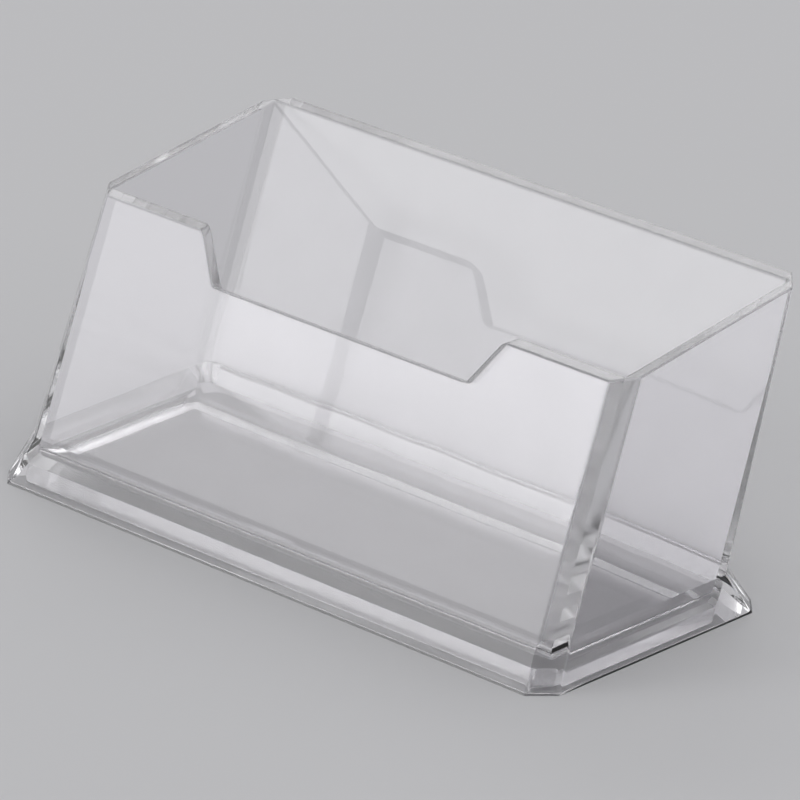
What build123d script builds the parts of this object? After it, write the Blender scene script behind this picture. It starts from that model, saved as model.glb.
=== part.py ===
from build123d import *
import os
from math import cos, radians, sqrt, tan

# Clear card holder: four walls that lean back together on a flared foot.
# X runs across the cards, Y from front to back, Z up from the table.
# The origin is the middle of the whole depth and width, on the table. Millimetres and degrees.

# Card pocket
card_width = 90.0
card_play = 1.5
pocket_depth = 26.0
cove_radius = 2.0
lean = 21.2

# Walls
rim_wall = 1.8
draft = 1.5
front_rim_height = 36.3
back_rim_height = 41.2
wall_chamfer = 2.75

# Thumb notch in the front wall, measured on the face of the wall
notch_top_width = 53.6
notch_bottom_width = 45.4
notch_depth = 6.3
notch_bottom_radius = 1.0
notch_top_radius = 1.2

# Flared skirt round the foot, hollow below
shoulder_height = 5.8
shoulder_radius = 2.0
front_flare = 3.9
side_flare = 1.6
back_flare = 3.5
foot_chamfer = 3.0
foot_rim = 0.7
skirt_taper = 0.65

# Tray inside the skirt: the walls carried down to the floor, clear of the table
tray_wall = 1.8
tray_chamfer = 2.0
floor_lift = 0.3
floor_thickness = 1.0

# Heights and half sizes that follow
pocket_width = card_width + card_play
half_pocket = pocket_width / 2
half_tray = half_pocket + tray_wall
floor_top = floor_lift + floor_thickness
front_wall_rise = front_rim_height - shoulder_height
back_wall_rise = back_rim_height - shoulder_height

# The pocket leans evenly, and the outsides taper towards the rim by the draft
pocket_slope = tan(radians(lean))
front_slope = tan(radians(lean + draft))
back_slope = tan(radians(lean - draft))
side_slope = tan(radians(draft))
rim_wall_level = rim_wall / cos(radians(lean))
tray_wall_level = tray_wall / cos(radians(lean))
pocket_depth_level = pocket_depth / cos(radians(lean))

# The shoulder, where the walls meet the foot, measured from the pocket's front face
front_wall_level = rim_wall_level + front_wall_rise * (front_slope - pocket_slope)
back_wall_level = rim_wall_level + back_wall_rise * (pocket_slope - back_slope)
shoulder_depth = front_wall_level + pocket_depth_level + back_wall_level
half_shoulder = half_pocket + rim_wall + front_wall_rise * side_slope

# The foot's outline, and the places in Y of the walls at the shoulder
half_foot = half_shoulder + side_flare
foot_depth = shoulder_depth + front_flare + back_flare
whole_depth = front_flare + shoulder_depth + back_wall_rise * back_slope
foot_front = -whole_depth / 2
foot_back = foot_front + foot_depth
shoulder_front = foot_front + front_flare
shoulder_back = foot_back - back_flare
pocket_front = shoulder_front + front_wall_level
pocket_back = shoulder_back - back_wall_level
tray_front = pocket_front - tray_wall_level
tray_back = pocket_back + tray_wall_level

# The rim's front and back edges
rim_front = shoulder_front + front_wall_rise * front_slope
rim_back = shoulder_back + back_wall_rise * back_slope

# The flat of the floor, between the coves
front_cove_run = 1 / tan(radians((90 - lean) / 2))
back_cove_run = 1 / tan(radians((90 + lean) / 2))
floor_drop = (shoulder_height - floor_top) * pocket_slope
half_plate = half_pocket - cove_radius
plate_front = pocket_front - floor_drop + cove_radius * front_cove_run
plate_back = pocket_back - floor_drop - cove_radius * back_cove_run

# Stock that every block is cut from, larger than the holder in every direction
stock_ratio = 4
stock_size = stock_ratio * (half_foot + whole_depth + back_rim_height)


def cut_block(sides):
    """A block with flat sides, each given as a point on it and the direction it faces."""
    block = Box(stock_size, stock_size, stock_size)
    for point, facing in sides:
        block = split(block, bisect_by=Plane(origin=point, z_dir=facing), keep=Keep.BOTTOM)
    return block


def mirrored(sides):
    """The same sides on the left half of the holder."""
    return [((-x, y, z), (-across, along, up)) for (x, y, z), (across, along, up) in sides]


def wall_block():
    """The outside of the four walls, from the shoulder to the sloping rim."""
    rim_run = rim_back - rim_front
    rim_rise = back_rim_height - front_rim_height
    corner_x = half_shoulder - wall_chamfer
    right_sides = [
        ((half_shoulder, 0, shoulder_height), (1, 0, side_slope)),
        ((corner_x, shoulder_front, shoulder_height), (1, -1, front_slope + side_slope)),
        ((corner_x, shoulder_back, shoulder_height), (1, 1, side_slope - back_slope)),
    ]
    sides = [
        ((0, 0, shoulder_height), (0, 0, -1)),
        ((0, shoulder_front, shoulder_height), (0, -1, front_slope)),
        ((0, shoulder_back, shoulder_height), (0, 1, -back_slope)),
        ((0, rim_front, front_rim_height), (0, -rim_rise, rim_run)),
    ]
    return cut_block(sides + right_sides + mirrored(right_sides))


def foot_corner_flare(flare):
    """How far a corner flat moves in, across both directions, from the table to the shoulder."""
    return flare + side_flare + wall_chamfer - foot_chamfer


def foot_block():
    """The outside of the flared skirt, from the table to the shoulder."""
    rise = shoulder_height
    right_sides = [
        ((half_foot, 0, 0), (rise, 0, side_flare)),
        ((half_foot - foot_chamfer, foot_front, 0), (rise, -rise, foot_corner_flare(front_flare))),
        ((half_foot - foot_chamfer, foot_back, 0), (rise, rise, foot_corner_flare(back_flare))),
    ]
    sides = [
        ((0, 0, 0), (0, 0, -1)),
        ((0, 0, rise), (0, 0, 1)),
        ((0, foot_front, 0), (0, -rise, front_flare)),
        ((0, foot_back, 0), (0, rise, back_flare)),
    ]
    return cut_block(sides + right_sides + mirrored(right_sides))


def pocket_block():
    """The space for the cards, with coves round its floor."""
    sides = [
        ((0, 0, floor_top), (0, 0, -1)),
        ((0, pocket_front, shoulder_height), (0, -1, pocket_slope)),
        ((0, pocket_back, shoulder_height), (0, 1, -pocket_slope)),
        ((half_pocket, 0, 0), (1, 0, 0)),
        ((-half_pocket, 0, 0), (-1, 0, 0)),
    ]
    block = cut_block(sides)
    return fillet(block.faces().sort_by(Axis.Z)[0].edges(), cove_radius)


def tray_block():
    """The outside of the tray within the skirt, with its corners cut flat."""
    right_sides = [
        ((half_tray, 0, 0), (1, 0, 0)),
        ((half_tray - tray_chamfer, tray_front, shoulder_height), (1, -1, pocket_slope)),
        ((half_tray - tray_chamfer, tray_back, shoulder_height), (1, 1, -pocket_slope)),
    ]
    sides = [
        ((0, 0, floor_lift), (0, 0, -1)),
        ((0, tray_front, shoulder_height), (0, -1, pocket_slope)),
        ((0, tray_back, shoulder_height), (0, 1, -pocket_slope)),
    ]
    return cut_block(sides + right_sides + mirrored(right_sides))


def hollow_block():
    """The hollow under the foot: a groove between skirt and tray, and the gap below the floor."""
    corner_in = foot_rim / sqrt(2)
    corner_taper = skirt_taper * sqrt(2)
    front_corner = foot_corner_flare(front_flare) / shoulder_height + corner_taper
    back_corner = foot_corner_flare(back_flare) / shoulder_height + corner_taper
    corner_x = half_foot - foot_chamfer - corner_in
    right_sides = [
        ((half_foot - foot_rim, 0, 0), (1, 0, side_flare / shoulder_height + skirt_taper)),
        ((corner_x, foot_front + corner_in, 0), (1, -1, front_corner)),
        ((corner_x, foot_back - corner_in, 0), (1, 1, back_corner)),
    ]
    sides = [
        ((0, foot_front + foot_rim, 0), (0, -1, front_flare / shoulder_height + skirt_taper)),
        ((0, foot_back - foot_rim, 0), (0, 1, back_flare / shoulder_height + skirt_taper)),
    ]
    return cut_block(sides + right_sides + mirrored(right_sides)) - tray_block()


def notch_block():
    """The thumb notch, cut square through the front wall."""
    face = Plane(origin=(0, rim_front, front_rim_height), x_dir=(1, 0, 0), z_dir=(0, -1, front_slope))
    bottom_half = notch_bottom_width / 2
    above_half = notch_top_width - bottom_half
    outline = Polyline(
        (-above_half, notch_depth),
        (-bottom_half, -notch_depth),
        (bottom_half, -notch_depth),
        (above_half, notch_depth),
        close=True,
    )
    profile = make_face(outline)
    profile = fillet(profile.vertices().sort_by(Axis.Y)[:2], notch_bottom_radius)
    reach = pocket_depth / 2
    return extrude(face * profile, amount=reach, both=True)


def holder_outside():
    """The walls on the foot, with the crease behind the back wall rounded."""
    outside = wall_block() + foot_block()
    crease_middle = Vector(0, shoulder_back, shoulder_height)
    crease = outside.edges().sort_by(lambda edge: (edge.center() - crease_middle).length)[0]
    return fillet(crease, shoulder_radius)


def holder_shell():
    """The whole clear shell before it is divided into pieces."""
    body = holder_outside() - pocket_block() - hollow_block() - notch_block()
    notch_corners = []
    for side in (-1, 1):
        corner = Vector(side * notch_top_width / 2, rim_front + rim_wall_level / 2, front_rim_height)
        notch_corners.append(body.edges().sort_by(lambda edge: (edge.center() - corner).length)[0])
    return fillet(notch_corners, notch_top_radius)


def side_of(shape, point, facing):
    """What lies on the side of a plane that the direction points to."""
    return split(shape, bisect_by=Plane(origin=point, z_dir=facing), keep=Keep.TOP)


def wall_panels(shell):
    """The four walls above the shoulder, mitred along the pocket's corners."""
    walls = side_of(shell, (0, 0, shoulder_height), (0, 0, 1))
    middle = (0, (pocket_front + pocket_back) / 2, shoulder_height)
    front = side_of(walls, middle, (0, -1, pocket_slope))
    back = side_of(walls, middle, (0, 1, -pocket_slope))
    panels = {}
    for name, side in (("right", 1), ("left", -1)):
        front_corner = (side * half_pocket, pocket_front, shoulder_height)
        back_corner = (side * half_pocket, pocket_back, shoulder_height)
        front = side_of(front, front_corner, (-side * front_cove_run, -1, pocket_slope))
        back = side_of(back, back_corner, (-side * back_cove_run, 1, -pocket_slope))
        panel = side_of(walls, front_corner, (side * front_cove_run, 1, -pocket_slope))
        panels[f"{name}_side_panel"] = side_of(panel, back_corner, (side * back_cove_run, -1, pocket_slope))
    panels["front_panel"] = front
    panels["back_panel"] = back
    return panels


def foot_pieces(shell):
    """The floor between the coves, and the four rails of the foot, butted at the floor's edges."""
    foot = side_of(shell, (0, 0, shoulder_height), (0, 0, -1))
    between = side_of(foot, (0, plate_front, 0), (0, 1, 0))
    between = side_of(between, (0, plate_back, 0), (0, -1, 0))
    from_left = side_of(between, (-half_plate, 0, 0), (1, 0, 0))
    return {
        "front_foot_rail": side_of(foot, (0, plate_front, 0), (0, -1, 0)),
        "back_foot_rail": side_of(foot, (0, plate_back, 0), (0, 1, 0)),
        "left_foot_rail": side_of(between, (-half_plate, 0, 0), (-1, 0, 0)),
        "right_foot_rail": side_of(between, (half_plate, 0, 0), (1, 0, 0)),
        "floor_plate": side_of(from_left, (half_plate, 0, 0), (-1, 0, 0)),
    }


shell = holder_shell()
pieces = wall_panels(shell)
pieces.update(foot_pieces(shell))

os.makedirs("parts", exist_ok=True)
for name, piece in pieces.items():
    export_step(piece, f"parts/{name}.step")
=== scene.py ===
import math

import bmesh
import bpy
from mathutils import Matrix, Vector
from mathutils.bvhtree import BVHTree


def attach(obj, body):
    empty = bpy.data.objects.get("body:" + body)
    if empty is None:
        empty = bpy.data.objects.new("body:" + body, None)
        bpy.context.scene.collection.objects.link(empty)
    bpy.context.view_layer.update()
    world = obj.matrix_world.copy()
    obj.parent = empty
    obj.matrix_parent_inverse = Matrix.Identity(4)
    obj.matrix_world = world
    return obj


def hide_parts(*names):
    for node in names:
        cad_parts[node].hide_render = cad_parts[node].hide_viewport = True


# A clear moulded card holder. Metres, in the holder's own frame: X across the cards,
# Y from front to back, Z up from the table.
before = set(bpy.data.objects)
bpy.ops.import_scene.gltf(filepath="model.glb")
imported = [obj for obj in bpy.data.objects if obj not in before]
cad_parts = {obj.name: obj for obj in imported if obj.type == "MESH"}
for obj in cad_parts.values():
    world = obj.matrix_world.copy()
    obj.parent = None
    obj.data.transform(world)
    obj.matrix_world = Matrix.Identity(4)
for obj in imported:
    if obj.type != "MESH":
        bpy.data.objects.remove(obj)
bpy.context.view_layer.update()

MM = 0.001
BODY = "root"

# Edges
EDGE_ROUND = 0.28 * MM
FOOT_ROUND = 0.06 * MM
ROUND_SEGMENTS = 3
SHARP_ANGLE = math.radians(20)
FLAT_ANGLE = math.radians(0.5)
WELD_GAP = 0.001 * MM
SEAM_GAP = 0.01 * MM
FACING_AWAY = -0.99

# The finishes, in the order of each piece's material slots
FINISH_NAMES = (
    "clear_plastic",
    "bonded_joint",
    "satin_plastic",
    "rubbed_plastic",
    "dull_plastic",
)

# Where they are: satin on the rim, the notch, the corner flats and the tray's outside under
# the foot, rubbed on the outside of the front and the sides, dull on the outside of the back
GROOVE_TOP = 2.1 * MM
WALL_BOTTOM = 5.7 * MM
NOTCH_BOTTOM = 28 * MM
LEVEL_ENOUGH = 0.42
DIAGONAL = 0.5
SLANTED = (-0.9, -0.5)
BACKWARD = 0.5
POCKET_MIDDLE = -6.7 * MM
POCKET_SLOPE = math.tan(math.radians(21.2))

# Plastic: the least and greatest roughness of each finish, and the height of its flow waves
IOR = 1.55
PLASTIC_TINT = (0.975, 0.968, 0.985, 1.0)
POLISHED = (0.015, 0.05)
RUBBED = (0.04, 0.09)
SATIN = (0.09, 0.19)
DULL = (0.11, 0.18)
CLEAR = 1.0
SATIN_CLEARNESS = 0.85
STILL_WAVES = 0.04 * MM
STRONG_WAVES = 0.12 * MM
WAVE_SCALE = 65.0
WAVE_DETAIL = 1.0
HAZE_SCALE = 220.0
HAZE_DETAIL = 3.0
HAZE_RANGE = (0.45, 0.85)

# Camera, found by fitting the holder's edges to the photograph
CAMERA_AZIMUTH = math.radians(44.8)
CAMERA_ELEVATION = math.radians(22.58)
CAMERA_DISTANCE = 974.7 * MM
CAMERA_TARGET = Vector((0, 0.44, 18.03)) * MM
SENSOR = 36.0
IMAGE_SIZE = 800
FOCAL_PIXELS = 7621.4

# Studio
FLOOR_SIZE = 6.0
FLOOR_COLOUR = (0.60, 0.60, 0.61, 1.0)
FLOOR_ROUGHNESS = 0.7
WORLD_COLOUR = (0.48, 0.48, 0.49, 1.0)
KEY_AT = Vector((-0.66, -0.68, 0.34))
KEY_SIZE = (0.5, 0.6)
KEY_RADIANCE = 1.9
TOP_AT = Vector((0.15, 0.25, 1.1))
TOP_SIZE = (1.2, 0.9)
TOP_RADIANCE = 1.0
SIDE_AT = Vector((1.0, 0.1, 0.5))
SIDE_SIZE = (0.5, 0.6)
SIDE_RADIANCE = 1.0
BACK_AT = Vector((-0.74, 0.60, 0.74))
BACK_SIZE = (0.7, 0.32)
BACK_RADIANCE = 1.4
BOUNCES = 200


def others_tree(name):
    """The surfaces of every node but one, for finding what a face lies against."""
    points = []
    polygons = []
    for other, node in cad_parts.items():
        if other == name:
            continue
        first = len(points)
        points.extend(vertex.co.copy() for vertex in node.data.vertices)
        polygons.extend([first + i for i in polygon.vertices] for polygon in node.data.polygons)
    return BVHTree.FromPolygons(points, polygons)


def inner_points(mesh):
    """A point inside each face: the middle of its largest triangle."""
    largest = {}
    for corners in mesh.calc_loop_triangles():
        a, b, c = (corner.vert.co for corner in corners)
        area = (b - a).cross(c - a).length
        face = corners[0].face
        if area > largest.get(face, (0, None))[0]:
            largest[face] = (area, (a + b + c) / 3)
    return {face: point for face, (_, point) in largest.items()}


def bonded_faces(mesh, name):
    """The faces that lie against another piece."""
    tree = others_tree(name)
    bonded = set()
    for face, point in inner_points(mesh).items():
        _, normal, _, gap = tree.find_nearest(point)
        if gap < SEAM_GAP and normal.dot(face.normal) < FACING_AWAY:
            bonded.add(face)
    return bonded


def highest(part):
    """The height of a face's or an edge's highest point."""
    return max(vertex.co.z for vertex in part.verts)


def is_satin(face):
    """Whether a face is part of the rim, the notch, a corner flat or the tray's outside."""
    top = highest(face)
    if top < GROOVE_TOP:
        return face.normal.z < LEVEL_ENOUGH and not SLANTED[0] < face.normal.z < SLANTED[1]
    corner_flat = abs(face.normal.x) > DIAGONAL and abs(face.normal.y) > DIAGONAL
    return top > NOTCH_BOTTOM and (corner_flat or face.normal.z > LEVEL_ENOUGH)


def is_outside(face):
    """Whether a face of a wall looks away from the pocket."""
    centre = face.calc_center_median()
    middle = Vector((0, POCKET_MIDDLE + centre.z * POCKET_SLOPE, centre.z))
    return centre.z > WALL_BOTTOM and face.normal.dot(centre - middle) > 0


def finish_of(face, bonded):
    """The name of a face's finish."""
    if face in bonded:
        return "bonded_joint"
    if is_satin(face):
        return "satin_plastic"
    if not is_outside(face):
        return "clear_plastic"
    return "dull_plastic" if face.normal.y > BACKWARD else "rubbed_plastic"


def piece_mesh(name):
    """A node's shape with flat faces made whole, and its open edges marked to be rounded."""
    mesh = bmesh.new()
    mesh.from_mesh(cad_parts[name].data)
    bmesh.ops.remove_doubles(mesh, verts=mesh.verts, dist=WELD_GAP)
    bmesh.ops.dissolve_limit(mesh, angle_limit=FLAT_ANGLE, verts=mesh.verts, edges=mesh.edges)
    mesh.normal_update()
    bonded = bonded_faces(mesh, name)
    weight = mesh.edges.layers.float.new("bevel_weight_edge")
    for face in mesh.faces:
        face.smooth = True
        face.material_index = FINISH_NAMES.index(finish_of(face, bonded))
    for edge in mesh.edges:
        bent = edge.calc_face_angle() > SHARP_ANGLE
        on_seam = any(face in bonded for face in edge.link_faces)
        edge.smooth = not bent and not on_seam
        if bent and edge.is_convex and not on_seam:
            edge[weight] = FOOT_ROUND / EDGE_ROUND if highest(edge) < GROOVE_TOP else 1.0
            edge.smooth = True
    data = bpy.data.meshes.new(name)
    mesh.to_mesh(data)
    mesh.free()
    return data


def make_piece(name, finishes):
    """One clear piece with its edges rounded, standing for its node."""
    piece = bpy.data.objects.new(f"clear_{name}", piece_mesh(name))
    bpy.context.scene.collection.objects.link(piece)
    for finish in finishes:
        piece.data.materials.append(finish)
    rounding = piece.modifiers.new("edge_round", "BEVEL")
    rounding.limit_method = "WEIGHT"
    rounding.width = EDGE_ROUND
    rounding.segments = ROUND_SEGMENTS
    rounding.use_clamp_overlap = False
    normals = piece.modifiers.new("flat_faces", "WEIGHTED_NORMAL")
    normals.keep_sharp = True
    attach(piece, BODY)
    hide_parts(name)


def add_node(tree, kind, **values):
    """A node with its inputs set by name, or linked where a value is another node's output."""
    node = tree.nodes.new(kind)
    for name, value in values.items():
        socket = node.inputs[name.replace("_", " ")]
        if isinstance(value, bpy.types.NodeSocket):
            tree.links.new(value, socket)
        else:
            socket.default_value = value
    return node


def new_material(name):
    """An empty node material, and its tree."""
    material = bpy.data.materials.new(name)
    material.use_nodes = True
    material.node_tree.nodes.clear()
    return material, material.node_tree


def finish_material(tree, shader):
    """The shader joined to the material's output."""
    output = tree.nodes.new("ShaderNodeOutputMaterial")
    tree.links.new(shader.outputs[0], output.inputs["Surface"])


def clear_plastic(name, roughness, wave_height, clearness):
    """Clear plastic with the slight flow waves of a moulding and faint handling haze."""
    material, tree = new_material(name)
    place = tree.nodes.new("ShaderNodeTexCoord").outputs["Object"]
    waves = add_node(
        tree,
        "ShaderNodeTexNoise",
        Vector=place,
        Scale=WAVE_SCALE,
        Detail=WAVE_DETAIL,
    )
    bump = add_node(
        tree,
        "ShaderNodeBump",
        Height=waves.outputs["Fac"],
        Strength=1.0,
        Distance=wave_height,
    )
    haze = add_node(
        tree,
        "ShaderNodeTexNoise",
        Vector=place,
        Scale=HAZE_SCALE,
        Detail=HAZE_DETAIL,
    )
    rough = add_node(
        tree,
        "ShaderNodeMapRange",
        Value=haze.outputs["Fac"],
        From_Min=HAZE_RANGE[0],
        From_Max=HAZE_RANGE[1],
        To_Min=roughness[0],
        To_Max=roughness[1],
    )
    shader = add_node(
        tree,
        "ShaderNodeBsdfPrincipled",
        Base_Color=PLASTIC_TINT,
        Roughness=rough.outputs["Result"],
        IOR=IOR,
        Transmission_Weight=clearness,
        Normal=bump.outputs["Normal"],
    )
    finish_material(tree, shader)
    return material


def bonded_plastic(name):
    """A bonded joint inside the plastic, which shows nothing."""
    material, tree = new_material(name)
    shader = add_node(
        tree,
        "ShaderNodeBsdfPrincipled",
        Base_Color=PLASTIC_TINT,
        IOR=IOR,
        Alpha=0.0,
    )
    finish_material(tree, shader)
    return material


def make_floor():
    """A plain pale floor, even and matt."""
    mesh = bmesh.new()
    bmesh.ops.create_grid(mesh, x_segments=1, y_segments=1, size=FLOOR_SIZE / 2)
    data = bpy.data.meshes.new("floor")
    mesh.to_mesh(data)
    mesh.free()
    floor = bpy.data.objects.new("floor", data)
    bpy.context.scene.collection.objects.link(floor)
    material, tree = new_material("floor")
    shader = add_node(
        tree,
        "ShaderNodeBsdfPrincipled",
        Base_Color=FLOOR_COLOUR,
        Roughness=FLOOR_ROUGHNESS,
    )
    finish_material(tree, shader)
    data.materials.append(material)


def make_softbox(name, place, size, radiance):
    """A rectangular soft light that looks at the holder."""
    width, height = size
    lamp = bpy.data.lights.new(name, "AREA")
    lamp.shape = "RECTANGLE"
    lamp.size = width
    lamp.size_y = height
    lamp.energy = radiance * math.pi * width * height
    softbox = bpy.data.objects.new(name, lamp)
    bpy.context.scene.collection.objects.link(softbox)
    softbox.location = place
    softbox.rotation_euler = (CAMERA_TARGET - place).to_track_quat("-Z", "Y").to_euler()


def make_world():
    """Even light from all round."""
    world = bpy.data.worlds.new("studio")
    bpy.context.scene.world = world
    world.use_nodes = True
    world.node_tree.nodes["Background"].inputs["Color"].default_value = WORLD_COLOUR


def make_camera():
    """The photograph's viewpoint."""
    data = bpy.data.cameras.new("camera")
    data.sensor_width = SENSOR
    data.lens = SENSOR * FOCAL_PIXELS / IMAGE_SIZE
    camera = bpy.data.objects.new("camera", data)
    bpy.context.scene.collection.objects.link(camera)
    towards = Vector((
        math.sin(CAMERA_AZIMUTH) * math.cos(CAMERA_ELEVATION),
        -math.cos(CAMERA_AZIMUTH) * math.cos(CAMERA_ELEVATION),
        math.sin(CAMERA_ELEVATION),
    ))
    camera.location = CAMERA_TARGET + towards * CAMERA_DISTANCE
    camera.rotation_euler = towards.to_track_quat("Z", "Y").to_euler()
    bpy.context.scene.camera = camera


polished, joint, satin, rubbed, dull = FINISH_NAMES
finishes = [
    clear_plastic(polished, POLISHED, STILL_WAVES, CLEAR),
    bonded_plastic(joint),
    clear_plastic(satin, SATIN, STRONG_WAVES, SATIN_CLEARNESS),
    clear_plastic(rubbed, RUBBED, STRONG_WAVES, CLEAR),
    clear_plastic(dull, DULL, STRONG_WAVES, CLEAR),
]
for node_name in sorted(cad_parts):
    make_piece(node_name, finishes)

make_floor()
make_softbox("key", KEY_AT, KEY_SIZE, KEY_RADIANCE)
make_softbox("top", TOP_AT, TOP_SIZE, TOP_RADIANCE)
make_softbox("side", SIDE_AT, SIDE_SIZE, SIDE_RADIANCE)
make_softbox("back", BACK_AT, BACK_SIZE, BACK_RADIANCE)
make_world()
make_camera()

scene = bpy.context.scene
scene.view_settings.view_transform = "Standard"
scene.cycles.max_bounces = BOUNCES
scene.cycles.transmission_bounces = BOUNCES
scene.cycles.glossy_bounces = BOUNCES
scene.cycles.transparent_max_bounces = BOUNCES
